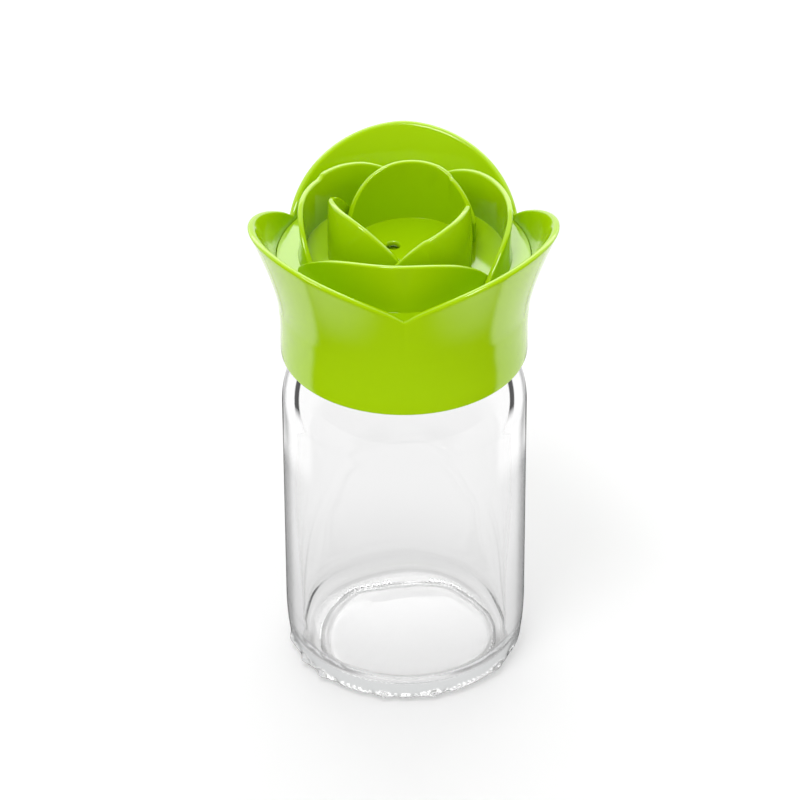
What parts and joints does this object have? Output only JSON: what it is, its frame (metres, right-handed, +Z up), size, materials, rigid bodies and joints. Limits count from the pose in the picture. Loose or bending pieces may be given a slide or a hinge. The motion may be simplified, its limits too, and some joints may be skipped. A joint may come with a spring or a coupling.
{
  "type": "salt shaker",
  "caption": "Glass salt shaker with a screwed rose-shaped cap and a turning rose dial that opens and closes the salt holes.",
  "frame": {"origin": "on the jar's axis, at the plane that the jar stands on", "axes": "+Z up along the jar's axis; -Y is the side that the picture shows, towards the notch between two outer petals; +X to its right"},
  "size_m": [0.062, 0.0602, 0.1091],
  "materials": {
    "clear_glass": "clear pressed soda-lime glass, smooth, with a faint stipple at the heel",
    "soft_seal": "soft white, matt",
    "cap_plastic": "moulded lime green, glossy",
    "rose_plastic": "moulded lime green, glossy"
  },
  "bodies": {
    "jar": {"glass_jar": "clear_glass"},
    "seal": {"sealing_ring": "soft_seal"},
    "cap": {"outer_cap": "cap_plastic"},
    "dial": {"rose_dial": "rose_plastic"}
  },
  "joints": [
    {"name": "cap_lift", "type": "slide", "parent": "jar", "child": "seal", "axis": [0, 0, 1], "range_m": [0, 0.00601]},
    {"name": "cap_turn", "type": "hinge", "parent": "seal", "child": "cap", "pos_m": [0, 0, 0.0919], "axis": [0, 0, 1], "range_deg": [0, 540]},
    {"name": "dial_turn", "type": "hinge", "parent": "cap", "child": "dial", "pos_m": [0, 0, 0.0942], "axis": [0, 0, 1], "range_deg": [-60, 0]}
  ],
  "couplings": [
    {"joint": "cap_lift", "follows": "cap_turn", "m_per_rad": 0.00063662}
  ]
}
